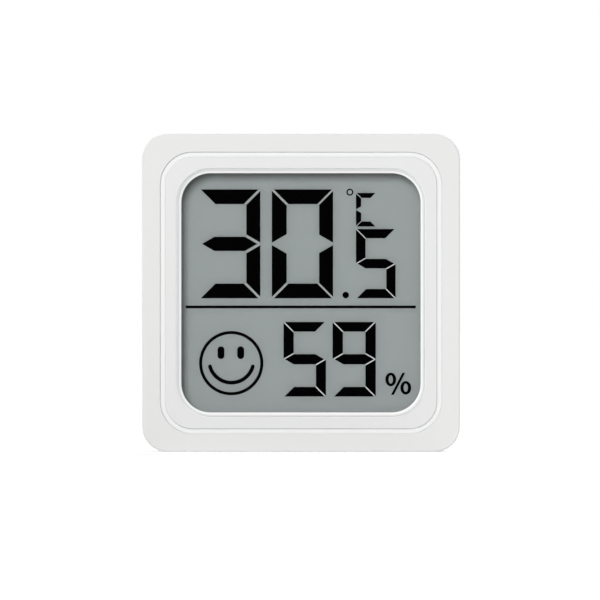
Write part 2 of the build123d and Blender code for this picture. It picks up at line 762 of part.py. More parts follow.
    # Button hole, screw seats and screw holes
    with BuildSketch(layer(case_depth)):
        with Locations((corner_place, corner_place)):
            Circle(button_radius + button_side_gap)
    extrude(amount=back_wall, mode=Mode.SUBTRACT)
    with BuildSketch(layer(case_depth)):
        with Locations(*post_places):
            Circle(screw_head_radius + screw_head_gap)
    extrude(amount=screw_head_recess, mode=Mode.SUBTRACT)
    with BuildSketch(layer(screw_seat_depth)):
        with Locations(*post_places):
            Circle(screw_shank_radius + screw_hole_gap)
    extrude(amount=screw_seat_depth - seam_depth, mode=Mode.SUBTRACT)
    # Vents into the sensor's bay: through the back, the side and the top
    with BuildSketch(layer(case_depth)):
        with Locations((-corner_place, corner_place)):
            with GridLocations(vent_pitch, vent_pitch, vent_count, 1):
                SlotOverall(vent_length, vent_width, rotation=90)
    extrude(amount=back_wall, mode=Mode.SUBTRACT)
    with BuildSketch(across_section(-case_size / 2, side_vent_depth, corner_place)):
        with GridLocations(vent_pitch, vent_pitch, 1, vent_count):
            Rectangle(side_vent_length, vent_width)
    extrude(amount=case_wall, mode=Mode.SUBTRACT)
    top_vents = (-corner_place, side_vent_depth - case_depth / 2, case_size)
    top_wall = Plane(origin=top_vents, x_dir=(1, 0, 0), z_dir=(0, 0, -1))
    with BuildSketch(top_wall):
        with GridLocations(vent_pitch, vent_pitch, vent_count, 1):
            Rectangle(vent_width, side_vent_length)
    extrude(amount=case_wall, mode=Mode.SUBTRACT)

# Battery door: cap with a coin slot, a neck that runs in the collar, three lugs and a pad over the cell
with BuildPart() as battery_door:
    with BuildSketch(door_layer(cap_depth)):
        Circle(cap_radius)
    extrude(amount=cap_thickness)
    chamfer(battery_door.edges().group_by(Axis.Y)[-1], length=cap_edge_chamfer)
    with BuildSketch(door_layer(lug_depth)):
        Circle(neck_radius)
        Circle(neck_radius - neck_wall, mode=Mode.SUBTRACT)
    extrude(amount=cap_depth - lug_depth)
    with BuildSketch(door_layer(lug_depth)):
        for lug_angle in lug_angles:
            lug_start = lug_angle - lug_width_angle / 2
            add(ring_sector(neck_radius - neck_wall / 2, lug_radius, lug_start, lug_width_angle))
    extrude(amount=lug_thickness)
    with BuildSketch(door_layer(lug_depth)):
        Circle(door_pad_radius)
        Rectangle(2 * neck_radius - neck_wall, door_rib_width)
        Rectangle(door_rib_width, 2 * neck_radius - neck_wall)
    extrude(amount=cap_depth - lug_depth)
    with BuildSketch(door_layer(case_depth - coin_slot_depth)):
        SlotOverall(coin_slot_length, coin_slot_width)
    extrude(amount=coin_slot_depth, mode=Mode.SUBTRACT)

# Stand: a plate with a nail notch and a trunnion at each lower corner
stand_top = stand_pocket_top - stand_side_gap
stand_middle = (stand_top + stand_hinge_up) / 2
panel_width = stand_width - 2 * stand_panel_inset
panel_height = stand_top - stand_hinge_up - 2 * stand_panel_inset
panel_radius = min(stand_panel_radius, panel_height / 3)
with BuildPart() as stand:
    with BuildSketch(layer(case_depth - stand_face_recess)) as stand_outline:
        with Locations((0, stand_middle)):
            Rectangle(stand_width, stand_top - stand_hinge_up)
        fillet(stand_outline.vertices().group_by(Axis.Y)[-1], radius=stand_corner_radius)
        with Locations((0, stand_top)):
            SlotOverall(nail_notch_width, 2 * nail_notch_depth, mode=Mode.SUBTRACT)
    extrude(amount=stand_thickness)
    chamfer(stand.edges().group_by(Axis.Y)[-1].sort_by(Axis.Z)[1:], length=stand_edge_chamfer)
    with BuildSketch(across_section(-stand_width / 2, stand_hinge_depth, stand_hinge_up)):
        Circle(stand_thickness / 2)
    extrude(amount=stand_width)
    with BuildSketch(across_section(-stand_width / 2 - trunnion_length, stand_hinge_depth, stand_hinge_up)):
        Circle(trunnion_radius)
    extrude(amount=stand_width + 2 * trunnion_length)
    with BuildSketch(layer(stand_hinge_depth - stand_thickness / 2 + stand_panel_depth)):
        with Locations((0, stand_middle)):
            RectangleRounded(panel_width, panel_height, panel_radius)
    extrude(amount=stand_panel_depth, mode=Mode.SUBTRACT)

# Screws that hold the case together, driven from the back into the posts
with BuildPart() as case_screws:
    with BuildSketch(layer(screw_seat_depth + screw_head_height)):
        with Locations(*post_places):
            Circle(screw_head_radius)
    extrude(amount=screw_head_height)
    with BuildSketch(layer(screw_seat_depth)):
        with Locations(*post_places):
            Circle(screw_shank_radius)
    extrude(amount=screw_length)

# Board screws, which clamp the board to the display carrier
with BuildPart() as board_screws:
    with BuildSketch(layer(board_rear_depth + board_screw_head_height)):
        with Locations(*board_screw_places):
            Circle(board_screw_head_radius)
    extrude(amount=board_screw_head_height)
    with BuildSketch(layer(board_rear_depth)):
        with Locations(*board_screw_places):
            Circle(board_screw_radius)
    extrude(amount=board_screw_length)

pieces = {
    "front_housing": front_housing,
    "screen_bezel": screen_bezel,
    "display_gasket": display_gasket,
    "front_polariser": front_polariser,
    "front_glass": front_glass,
    "glass_seal": glass_seal,
    "rear_glass": rear_glass,
    "rear_reflector": rear_reflector,
    "display_carrier": display_carrier,
    "contact_strip": contact_strip,
    "circuit_board": circuit_board,
    "controller_chip": controller_chip,
    "timing_crystal": timing_crystal,
    "chip_capacitors": chip_capacitors,
    "humidity_sensor": humidity_sensor,
    "negative_contact": negative_contact,
    "positive_contact": positive_contact,
    "coin_cell": coin_cell,
    "unit_button": unit_button,
    "tact_switch": tact_switch,
    "switch_plunger": switch_plunger,
    "back_cover": back_cover,
    "battery_door": battery_door,
    "stand": stand,
    "case_screws": case_screws,
    "board_screws": board_screws,
}
for name, piece in pieces.items():
    piece.part.label = name
    export_step(piece.part, f"parts/{name}.step")

print("case", round(case_size, 3), "wide and high,", round(case_depth, 3), "deep")
print("battery door axis", round(door_height, 3), "above the underside")
print("stand hinge", stand_hinge_height, "above the underside,", round(stand_hinge_depth, 3), "deep")
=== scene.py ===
import math
import bpy
import numpy as np
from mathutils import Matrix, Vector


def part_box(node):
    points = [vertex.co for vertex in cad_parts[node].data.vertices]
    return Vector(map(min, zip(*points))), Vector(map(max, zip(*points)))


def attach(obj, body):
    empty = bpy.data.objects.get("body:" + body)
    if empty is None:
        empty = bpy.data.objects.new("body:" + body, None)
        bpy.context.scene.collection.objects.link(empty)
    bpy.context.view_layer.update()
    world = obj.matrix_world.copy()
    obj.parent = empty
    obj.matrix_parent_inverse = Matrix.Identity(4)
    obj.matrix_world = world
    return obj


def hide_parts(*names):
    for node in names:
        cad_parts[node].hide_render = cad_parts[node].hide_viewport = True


# A small white room sensor with a segment display. Metres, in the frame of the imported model; the dictionaries
# of sizes hold millimetres and degrees
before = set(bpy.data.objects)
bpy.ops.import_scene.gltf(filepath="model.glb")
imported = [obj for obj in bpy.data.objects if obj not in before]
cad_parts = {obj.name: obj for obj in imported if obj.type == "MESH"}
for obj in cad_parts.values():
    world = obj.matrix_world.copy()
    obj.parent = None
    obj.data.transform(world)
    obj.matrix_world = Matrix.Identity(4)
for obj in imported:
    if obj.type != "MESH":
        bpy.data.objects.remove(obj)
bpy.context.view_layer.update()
mm = 0.001
bpy.context.scene.view_settings.view_transform = "Standard"
print("frame loaded:", len(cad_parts), "nodes")

# Where the camera, the figures and the marks take their places from
caseLow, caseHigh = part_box("front_housing")
frontY = caseLow.y
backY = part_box("back_cover")[1].y
caseMiddle = caseHigh.z / 2


def scaled(values):
    # millimetres to metres
    return [v * mm for v in values]


def linear(hexColour):
    # sRGB hex to linear values, opaque
    parts = [int(hexColour[i:i + 2], 16) / 255 for i in (1, 3, 5)]
    return [p / 12.92 if p <= 0.04045 else ((p + 0.055) / 1.055) ** 2.4 for p in parts] + [1.0]


def addNode(tree, kind, settings=None):
    # one node; a setting is an attribute or an input, and an input takes a value or another node's output
    node = tree.nodes.new(kind)
    for key, value in (settings or {}).items():
        if not (isinstance(key, int) or key in node.inputs):
            setattr(node, key, value)
        elif isinstance(value, bpy.types.NodeSocket):
            tree.links.new(value, node.inputs[key])
        else:
            node.inputs[key].default_value = value
    return node


def mathOf(tree, operation, *values):
    return addNode(tree, "ShaderNodeMath", {"operation": operation, **dict(enumerate(values))}).outputs[0]


def mixColours(tree, factor, first, second):
    return addNode(tree, "ShaderNodeMix", {"data_type": "RGBA", 0: factor, 6: first, 7: second}).outputs[2]


def mixNumbers(tree, factor, first, second):
    return addNode(tree, "ShaderNodeMix", {"data_type": "FLOAT", 0: factor, 2: first, 3: second}).outputs[0]


def newMaterial(name):
    material = bpy.data.materials.new(name)
    material.use_nodes = True
    material.node_tree.nodes.clear()
    return material, material.node_tree


def closeMaterial(tree, settings, kind="ShaderNodeBsdfPrincipled"):
    # the last shader and the way out
    shader = addNode(tree, kind, settings)
    addNode(tree, "ShaderNodeOutputMaterial", {"Surface": shader.outputs[0]})


def objectPoint(tree):
    return addNode(tree, "ShaderNodeTexCoord").outputs["Object"]


def speckle(tree, sizeMm, detail=2.0, stretch=None):
    # noise whose blobs are about sizeMm across, on the object's own coordinates
    point = objectPoint(tree)
    if stretch:
        point = addNode(tree, "ShaderNodeMapping", {"Scale": stretch, "Vector": point}).outputs["Vector"]
    noise = addNode(tree, "ShaderNodeTexNoise", {"Scale": 1 / (sizeMm * mm), "Detail": detail, "Vector": point})
    return noise.outputs["Fac"]


def roughnessRange(tree, grain, middle, share):
    # the grain takes the roughness that share of it down and up
    low, high = middle * (1 - share), min(middle * (1 + share), 1.0)
    return addNode(tree, "ShaderNodeMapRange", {"To Min": low, "To Max": high, "Value": grain}).outputs["Result"]


# Edges are softened in the shading, and the grain's relief is this deep at full strength
reliefSetup = {"bevelSamples": 4, "depth": 0.02}


def softNormal(tree, height, strength, edgeMm):
    edges = addNode(tree, "ShaderNodeBevel", {"samples": reliefSetup["bevelSamples"], "Radius": edgeMm * mm})
    bump = addNode(tree, "ShaderNodeBump", {"Strength": strength, "Distance": reliefSetup["depth"] * mm,
                                            "Height": height, "Normal": edges.outputs[0]})
    return bump.outputs[0]


# Camera: level and straight on, from so far away that the front hardly shows perspective. In metres, but the
# sensor in millimetres
cameraSetup = {
    "distance": 1.2, "frameWidth": 81.1 * mm, "aimX": -0.13 * mm, "aimZ": 20.53 * mm, "sensor": 36.0,
    "clipNear": 0.01, "clipFar": 50,
}


def makeCamera():
    s = cameraSetup
    data = bpy.data.cameras.new("camera")
    data.sensor_width = s["sensor"]
    data.lens = s["sensor"] * s["distance"] / s["frameWidth"]
    data.clip_start, data.clip_end = s["clipNear"], s["clipFar"]
    camera = bpy.data.objects.new("camera", data)
    camera.location = (s["aimX"], frontY - s["distance"], s["aimZ"])
    camera.rotation_euler = (math.pi / 2, 0, 0)
    bpy.context.scene.collection.objects.link(camera)
    bpy.context.scene.camera = camera


# Light: one broad soft key from the upper left of the front, a softer one from behind, and an even room. Turn 0
# shines from the front, positive from the right; rise is the height of the lamp above level. The room lights
# the object weakly, while the camera and mirror images see a white backdrop
lightSetup = {
    "keyLight": {"strength": 2.12, "size": 28, "turn": -12, "rise": 16},
    "backLight": {"strength": 1.7, "size": 40, "turn": 155, "rise": 38},
}
roomSetup = {"white": "#FFFFFF", "room": 0.24, "backdrop": 1.0}


def makeLight():
    for name, s in lightSetup.items():
        data = bpy.data.lights.new(name, "SUN")
        data.energy = s["strength"]
        data.angle = math.radians(s["size"])
        lamp = bpy.data.objects.new(name, data)
        lamp.rotation_euler = (math.radians(90 - s["rise"]), 0, math.radians(s["turn"]))
        bpy.context.scene.collection.objects.link(lamp)
    world = bpy.data.worlds.new("room")
    bpy.context.scene.world = world
    world.use_nodes = True
    tree = world.node_tree
    tree.nodes.clear()
    ray = addNode(tree, "ShaderNodeLightPath")
    seen = mathOf(tree, "MAXIMUM", ray.outputs["Is Camera Ray"], ray.outputs["Is Transmission Ray"])
    seenOrMirrored = mathOf(tree, "MAXIMUM", seen, ray.outputs["Is Glossy Ray"])
    room, backdrop = [addNode(tree, "ShaderNodeBackground", {"Color": linear(roomSetup["white"]),
                                                             "Strength": roomSetup[k]}).outputs[0]
                      for k in ("room", "backdrop")]
    mixed = addNode(tree, "ShaderNodeMixShader", {0: seenOrMirrored, 1: room, 2: backdrop})
    addNode(tree, "ShaderNodeOutputWorld", {"Surface": mixed.outputs[0]})


# Floor: white card that still shows the shadow; what the camera sees is lifted, not what lights the object.
# It reaches this many metres each way
floorSetup = {"reach": 4.0, "card": "#D6D6D6", "lift": 0.68}


def makeFloor():
    r = floorSetup["reach"]
    mesh = bpy.data.meshes.new("floor")
    mesh.from_pydata([(-r, -r, 0), (r, -r, 0), (r, r, 0), (-r, r, 0)], [], [(0, 1, 2, 3)])
    floor = bpy.data.objects.new("floor", mesh)
    bpy.context.scene.collection.objects.link(floor)
    material, tree = newMaterial("whiteCard")
    card = addNode(tree, "ShaderNodeBsdfDiffuse", {"Color": linear(floorSetup["card"])})
    ray = addNode(tree, "ShaderNodeLightPath")
    strength = mathOf(tree, "MULTIPLY", ray.outputs["Is Camera Ray"], floorSetup["lift"])
    lift = addNode(tree, "ShaderNodeEmission", {"Strength": strength})
    closeMaterial(tree, {0: card.outputs[0], 1: lift.outputs[0]}, "ShaderNodeAddShader")
    mesh.materials.append(material)


# ABS, moulded against a finely spark-eroded steel: even white with a fine dull grain and soft edges. The grain
# is drawn coarser than the real one, which is too fine to show
absSetup = {
    "colour": "#E6E6E5", "shade": "#E3E3E2", "roughness": 0.52, "roughnessShare": 0.1, "grainMm": 0.16,
    "cloudMm": 9.0, "grainDepth": 0.05, "edgeMm": 0.07, "index": 1.5,
}
# Zones of the front with painted light or shade in their tone. near and far are depths behind the front, inside and
# outside half widths of a square round the case's middle, and line a square's half width, corner radius and line
# width
# painted light: the chamfer is coloured paler than the flat, a painted highlight that makes up for its shade
edgePaintedLight = {  # the fine chamfer round the front, paler so that it doesn't fall dark beside the flat
    "near": 0.01, "far": 0.16, "outside": 19.3, "colour": "#F7F7F7",
}
# painted sheen: the walls are coloured paler than the frame to stand for the gleam of polish; the lower roughness
# is the real polish
channelPolishAndPaintedSheen = {  # the channel's walls, where the mould is polished
    "near": 0.1, "inside": 19.3, "colour": "#EAEBEB", "roughness": 0.3,
}
# painted light: a paler line along the middle of the channel floor
channelFloorPaintedLight = {  # the bezel's flange under the channel, paler along its middle, where light gathers
    "near": 0.21, "inside": 19.3, "line": (18.7, 4.03, 0.41), "colour": "#EBECEC",
}
# painted sheen: the lip is coloured near pure white to stand for the gleam of polish; the lower roughness is the
# real polish
lipPolishAndPaintedSheen = {  # the lip round the window, polished too
    "near": 0.1, "inside": 17.0, "colour": "#FEFFFF", "roughness": 0.2,
}
# painted shade: a darker line at the foot of the step
stepFootPaintedShade = {  # the foot of the step round the lip, where shade gathers
    "near": 0.1, "inside": 17.0, "line": (16.70, 4.47, 0.12), "colour": "#D9DBDC",
}


def zoneFactor(tree, zone):
    # 1 in the zone. With u and v the distances aside and up less (half - corner), a line is where
    # hypot(max(u, 0), max(v, 0)) is near the corner radius
    parts = addNode(tree, "ShaderNodeSeparateXYZ", {0: objectPoint(tree)})
    depth = parts.outputs["Y"]
    ways = [mathOf(tree, "ABSOLUTE", parts.outputs["X"]),
            mathOf(tree, "ABSOLUTE", mathOf(tree, "SUBTRACT", parts.outputs["Z"], caseMiddle))]
    farther = mathOf(tree, "MAXIMUM", *ways)
    factors = [mathOf(tree, "GREATER_THAN", depth, frontY + zone["near"] * mm)]
    if "far" in zone:
        factors.append(mathOf(tree, "LESS_THAN", depth, frontY + zone["far"] * mm))
    if "inside" in zone:
        factors.append(mathOf(tree, "LESS_THAN", farther, zone["inside"] * mm))
    if "outside" in zone:
        factors.append(mathOf(tree, "GREATER_THAN", farther, zone["outside"] * mm))
    if "line" in zone:
        half, corner, width = scaled(zone["line"])
        past = [mathOf(tree, "MAXIMUM", mathOf(tree, "SUBTRACT", way, half - corner), 0.0) for way in ways]
        root = mathOf(tree, "SQRT", mathOf(tree, "ADD", *[mathOf(tree, "POWER", p, 2.0) for p in past]))
        factors.append(mathOf(tree, "COMPARE", root, corner, width / 2))
    product = factors[0]
    for factor in factors[1:]:
        product = mathOf(tree, "MULTIPLY", product, factor)
    return product


def mouldedAbs(name, changes, zones=()):
    # the grain makes the matt look, the clouds the slight change of tone that moulded white plastic has
    s = dict(absSetup, **changes)
    material, tree = newMaterial(name)
    clouds = speckle(tree, s["cloudMm"], detail=1.0)
    colour = mixColours(tree, clouds, linear(s["colour"]), linear(s["shade"]))
    grain = speckle(tree, s["grainMm"], detail=3.0)
    rough = roughnessRange(tree, grain, s["roughness"], s["roughnessShare"])
    # each zone mixes in its colour: painted light or shade on the front, and for the polished zones a real lower
    # roughness
    for zone in zones:
        factor = zoneFactor(tree, zone)
        colour = mixColours(tree, factor, colour, linear(zone["colour"]))
        if "roughness" in zone:
            rough = mixNumbers(tree, factor, rough, zone["roughness"])
    closeMaterial(tree, {"IOR": s["index"], "Base Color": colour, "Roughness": rough,
                         "Normal": softNormal(tree, grain, s["grainDepth"], s["edgeMm"])})
    return material


# Clear sheets: what lies behind them shows, and they only gloss over towards the edge of sight
clearSetup = {
    "polariserFilm": {"tint": "#FEFEFE", "roughness": 0.22, "gloss": 0.08},
    "displayGlass": {"tint": "#FDFEFE", "roughness": 0.03, "gloss": 0.03},
}
clearGrain = {"sizeMm": 0.05, "roughnessShare": 0.1, "mirror": "#FFFFFF"}


def clearSheet(name):
    # a coated sheet: hardly any mirror image from straight on, more at a slant
    s = clearSetup[name]
    material, tree = newMaterial(name)
    through = addNode(tree, "ShaderNodeBsdfTransparent", {"Color": linear(s["tint"])})
    rough = roughnessRange(tree, speckle(tree, clearGrain["sizeMm"], detail=1.0), s["roughness"],
                           clearGrain["roughnessShare"])
    mirror = addNode(tree, "ShaderNodeBsdfGlossy", {"Color": linear(clearGrain["mirror"]), "Roughness": rough})
    slant = addNode(tree, "ShaderNodeLayerWeight", {"Blend": s["gloss"]})
    closeMaterial(tree, {0: slant.outputs["Facing"], 1: through.outputs[0], 2: mirror.outputs[0]},
                  "ShaderNodeMixShader")
    return material


# Reflector film: grey, brushed so finely that it is only a little silky
reflectorSetup = {
    "colour": "#A1A6A5", "shade": "#9FA4A3", "roughness": 0.6, "specular": 0.1, "cloudMm": 14.0, "grainMm": 0.09,
    "grainDepth": 0.04, "reliefMm": 0.01,
}


def reflectorFilm():
    s = reflectorSetup
    material, tree = newMaterial("reflectorFilm")
    colour = mixColours(tree, speckle(tree, s["cloudMm"], detail=1.0), linear(s["colour"]), linear(s["shade"]))
    bump = addNode(tree, "ShaderNodeBump", {"Strength": s["grainDepth"], "Distance": s["reliefMm"] * mm,
                                            "Height": speckle(tree, s["grainMm"])})
    closeMaterial(tree, {"Roughness": s["roughness"], "Specular IOR Level": s["specular"], "Base Color": colour,
                         "Normal": bump.outputs[0]})
    return material


# Twisted liquid crystal between crossed films: swallows nearly all the light, and has no gloss of its own
crystalSetup = {"dark": ("#020202", "#050505"), "speckleMm": 0.4, "roughness": 0.9}


def crystalMaterial(name, tones):
    material, tree = newMaterial(name)
    tone = mixColours(tree, speckle(tree, crystalSetup["speckleMm"]), *[linear(t) for t in tones])
    closeMaterial(tree, {"Roughness": crystalSetup["roughness"], "Specular IOR Level": 0.0, "Base Color": tone})
    return material


# Plain finishes of the pieces inside and of the metal ones: two tones in a fine grain, with a little relief.
# Stretched grain gives a brushed or rolled look
grainySetup = {"roughnessShare": 0.15, "depth": 0.05, "edgeMm": 0.03}
grainyFinishes = {
    # open foam: black and without any gloss
    "gasketFoam": {"tones": ("#1B1B1B", "#101010"), "roughness": 0.9, "grainMm": 0.08, "depth": 0.4},
    # cured resin: cream-coloured and a little wet-looking
    "sealResin": {"tones": ("#D8D2BE", "#CFC8B2"), "roughness": 0.35, "grainMm": 0.2},
    # moulded chip package: near black, dull and slightly rough
    "chipResin": {"tones": ("#1F2022", "#17181A"), "roughness": 0.55, "grainMm": 0.12, "depth": 0.15},
    # drawn nickel plated can: a soft bright mirror
    "crystalCan": {"tones": ("#C9C8C2", "#BDBCB6"), "roughness": 0.3, "grainMm": 0.1, "metallic": 1.0},
    # fired ceramic: warm brown, half matt
    "capacitorCeramic": {"tones": ("#A07B56", "#8E6C4A"), "roughness": 0.5, "grainMm": 0.1},
    # sensor package: dark grey, half matt
    "sensorResin": {"tones": ("#2A2B2D", "#202123"), "roughness": 0.5, "grainMm": 0.1},
    # rolled, nickel plated spring bronze: warm metal with a long grain
    "contactNickel": {"tones": ("#CFCBC0", "#BDB9AE"), "roughness": 0.28, "grainMm": 0.15, "metallic": 1.0,
                      "stretch": (6, 1, 1)},
    # brushed steel of the cell: cool metal with a long grain
    "cellSteel": {"tones": ("#C6C7C6", "#B3B4B4"), "roughness": 0.3, "grainMm": 0.2, "metallic": 1.0,
                  "stretch": (8, 1, 1)},
    # moulded nylon: black with a low sheen
    "switchNylon": {"tones": ("#1D1E20", "#141517"), "roughness": 0.45, "grainMm": 0.15},
    # zinc plate: bluish bright metal, a little uneven
    "screwZinc": {"tones": ("#BFC0C2", "#A6A8AB"), "roughness": 0.32, "grainMm": 0.12, "metallic": 1.0},
}


def grainyFinish(name):
    s = dict(grainySetup, **grainyFinishes[name])
    material, tree = newMaterial(name)
    grain = speckle(tree, s["grainMm"], detail=3.0, stretch=s.get("stretch"))
    closeMaterial(tree, {"Metallic": s.get("metallic", 0.0),
                         "Base Color": mixColours(tree, grain, *[linear(t) for t in s["tones"]]),
                         "Roughness": roughnessRange(tree, grain, s["roughness"], s["roughnessShare"]),
                         "Normal": softNormal(tree, grain, s["depth"], s["edgeMm"])})
    return material


# Contact strip: silicone with layers of carbon, which show as fine dark stripes across it
stripSetup = {"pitch": 0.18, "silicone": "#D9A6B0", "carbon": "#2A2A2C", "threshold": 0.2, "roughness": 0.7}


def stripedRubber():
    s = stripSetup
    material, tree = newMaterial("contactRubber")
    parts = addNode(tree, "ShaderNodeSeparateXYZ", {0: objectPoint(tree)})
    wave = mathOf(tree, "SINE", mathOf(tree, "MULTIPLY", parts.outputs["X"], 2 * math.pi / (s["pitch"] * mm)))
    dark = mathOf(tree, "GREATER_THAN", wave, s["threshold"])
    closeMaterial(tree, {"Roughness": s["roughness"],
                         "Base Color": mixColours(tree, dark, linear(s["silicone"]), linear(s["carbon"]))})
    return material


# Board: green solder mask over copper tracks, which show as slightly lighter raised lines under a gloss. The
# tracks are drawn coarser than real ones, which are too fine to show
boardSetup = {
    "cellMm": 2.4, "lineShare": 0.06, "mask": "#12522F", "track": "#1E7344", "raise": 0.3, "raiseMm": 0.03,
    "roughness": 0.28, "coat": 0.4,
}


def boardLaminate():
    s = boardSetup
    material, tree = newMaterial("solderMask")
    tracks = addNode(tree, "ShaderNodeTexVoronoi", {"feature": "DISTANCE_TO_EDGE", "Scale": 1 / (s["cellMm"] * mm),
                                                    "Vector": objectPoint(tree)})
    line = mathOf(tree, "LESS_THAN", tracks.outputs["Distance"], s["lineShare"])
    bump = addNode(tree, "ShaderNodeBump", {"Strength": s["raise"], "Distance": s["raiseMm"] * mm, "Height": line})
    closeMaterial(tree, {"Roughness": s["roughness"], "Coat Weight": s["coat"], "Normal": bump.outputs[0],
                         "Base Color": mixColours(tree, line, linear(s["mask"]), linear(s["track"]))})
    return material


absFinishes = {
    # frame: fine matt white, with a painted paler chamfer and a painted sheen on the polished channel walls
    "housingAbs": ({"edgeMm": 0.03}, (edgePaintedLight, channelPolishAndPaintedSheen)),
    # bezel: a little smoother than the frame, with a polished lip painted bright (painted sheen), a painted light
    # line on the channel floor and painted shade at the foot of the step
    "bezelAbs": ({"colour": "#E3E4E4", "shade": "#E2E2E1", "roughness": 0.45, "edgeMm": 0.015},
                 (channelFloorPaintedLight, lipPolishAndPaintedSheen, stepFootPaintedShade)),
    # back: the plain matt white
    "coverAbs": ({}, ()),
    # door and stand: a slightly coarser grain, as separate mouldings have
    "doorAbs": ({"grainMm": 0.2}, ()),
    "standAbs": ({"grainMm": 0.2}, ()),
    # button: light grey and smoother, so that it stands out
    "buttonAbs": ({"colour": "#B9BCBE", "shade": "#B2B5B8", "roughness": 0.42}, ()),
    # carrier: undyed plastic, warmer and coarser
    "carrierAbs": ({"colour": "#DCDCD8", "shade": "#D6D6D1", "grainMm": 0.3}, ()),
}
nodeFinishes = {
    "front_housing": "housingAbs", "screen_bezel": "bezelAbs", "back_cover": "coverAbs", "battery_door": "doorAbs",
    "stand": "standAbs", "unit_button": "buttonAbs", "display_carrier": "carrierAbs",
    "front_polariser": "polariserFilm", "front_glass": "displayGlass", "rear_glass": "displayGlass",
    "rear_reflector": "reflectorFilm", "display_gasket": "gasketFoam", "glass_seal": "sealResin",
    "contact_strip": "contactRubber", "circuit_board": "solderMask", "controller_chip": "chipResin",
    "timing_crystal": "crystalCan", "chip_capacitors": "capacitorCeramic", "humidity_sensor": "sensorResin",
    "negative_contact": "contactNickel", "positive_contact": "contactNickel", "coin_cell": "cellSteel",
    "tact_switch": "switchNylon", "switch_plunger": "switchNylon", "case_screws": "screwZinc",
    "board_screws": "screwZinc",
}
clearNodes = ("front_polariser", "front_glass", "rear_glass")


def dressCadNodes():
    finishes = {name: mouldedAbs(name, *values) for name, values in absFinishes.items()}
    finishes.update({name: clearSheet(name) for name in clearSetup})
    finishes.update({name: grainyFinish(name) for name in grainyFinishes})
    finishes.update({m.name: m for m in (reflectorFilm(), stripedRubber(), boardLaminate())})
    for node, name in nodeFinishes.items():
        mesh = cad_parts[node].data
        mesh.materials.clear()
        mesh.materials.append(finishes[name])
    for node in clearNodes:
        # light falls through the clear sheets unchanged, so only sight and mirrored rays meet them
        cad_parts[node].visible_shadow = False
        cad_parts[node].visible_diffuse = False
    return finishes


def addPiece(name, vertices, faces, material, body, slot):
    mesh = bpy.data.meshes.new(name)
    mesh.from_pydata(vertices.tolist(), [], faces if isinstance(faces, list) else faces.tolist())
    mesh.materials.append(material)
    mesh.validate()
    piece = bpy.data.objects.new(name, mesh)
    bpy.context.scene.collection.objects.link(piece)
    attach(piece, body)
    return piece


def closedTube(rings, loop=False):
    # rings is stations x points x 3; neighbours are joined with quads, and open ends get a flat fan
    stations, around = rings.shape[:2]
    vertices = rings.reshape(-1, 3)
    i = np.arange(stations if loop else stations - 1)[:, None]
    j = np.arange(around)[None, :]
    nextRing = (i + 1) % stations
    nextPoint = (j + 1) % around
    quads = np.stack([i * around + j, i * around + nextPoint, nextRing * around + nextPoint, nextRing * around + j],
                     axis=-1).reshape(-1, 4)
    if loop:
        return vertices, quads
    first = np.array([[0, 3, 2, 1]])
    last = first[:, ::-1] + (stations - 1) * around
    return vertices, np.vstack([quads, first, last])


def closedLathe(rings):
    # rings from the tip to the top of the head; each end is drawn in to one point
    stations, around = rings.shape[:2]
    ends = np.array([rings[0].mean(axis=0), rings[-1].mean(axis=0)])
    vertices = np.vstack([rings.reshape(-1, 3), ends])
    i = np.arange(stations - 1)[:, None]
    j = np.arange(around)[None, :]
    k = (j + 1) % around
    quads = np.stack([i * around + j, (i + 1) * around + j, (i + 1) * around + k, i * around + k],
                     axis=-1).reshape(-1, 4)
    j, k = j[0], k[0]
    first = np.stack([j, k, np.full(around, stations * around)], axis=-1)
    base = (stations - 1) * around
    last = np.stack([base + k, base + j, np.full(around, stations * around + 1)], axis=-1)
    return vertices, quads.tolist() + first.tolist() + last.tolist()


def joined(shapes):
    # several closed shapes as one mesh
    vertices, faces, base = [], [], 0
    for v, f in shapes:
        vertices.append(v)
        faces.append(f + base)
        base += len(v)
    return np.vstack(vertices), np.vstack(faces)


# The figures lie between the two glasses; the raised marks start under the back face and stand proud of it
layerSetup = {"figureNear": 1.97, "figureFar": 2.03, "markSunk": 0.05, "markProud": 0.12}
figureLayer = (frontY + layerSetup["figureNear"] * mm, frontY + layerSetup["figureFar"] * mm)
markLayer = (backY - layerSetup["markSunk"] * mm, backY + layerSetup["markProud"] * mm)
bluntEnd = 0.004 * mm  # half the width that is left at the end of a point


def flatStrip(along, low, high, upright=False, layer=figureLayer):
    # A strip whose two edges are functions of the way along it: at each station the section is a
    # rectangle from low to high, between the two depths of the layer
    along, low, high = [np.asarray(v, float) for v in (along, low, high)]
    near, far = np.full_like(along, layer[0]), np.full_like(along, layer[1])
    if upright:
        ring = [(low, near, along), (high, near, along), (high, far, along), (low, far, along)]
    else:
        ring = [(along, near, high), (along, near, low), (along, far, low), (along, far, high)]
    rings = np.stack([np.stack(corner, axis=-1) for corner in ring], axis=1)
    return closedTube(rings)


def slantStrip(start, end, width, layer=figureLayer):
    # A straight strip from start to end: the section is carried along the line, square to it
    start, end = np.array(start, float), np.array(end, float)
    way = (end - start) / np.linalg.norm(end - start)
    side = np.array([-way[1], way[0]]) * width / 2
    edges = np.array([[point + side, point - side, point - side, point + side] for point in (start, end)])
    depth = np.array([layer[0], layer[0], layer[1], layer[1]])
    return closedTube(np.stack([edges[:, :, 0], np.broadcast_to(depth, (2, 4)), edges[:, :, 1]], axis=-1))


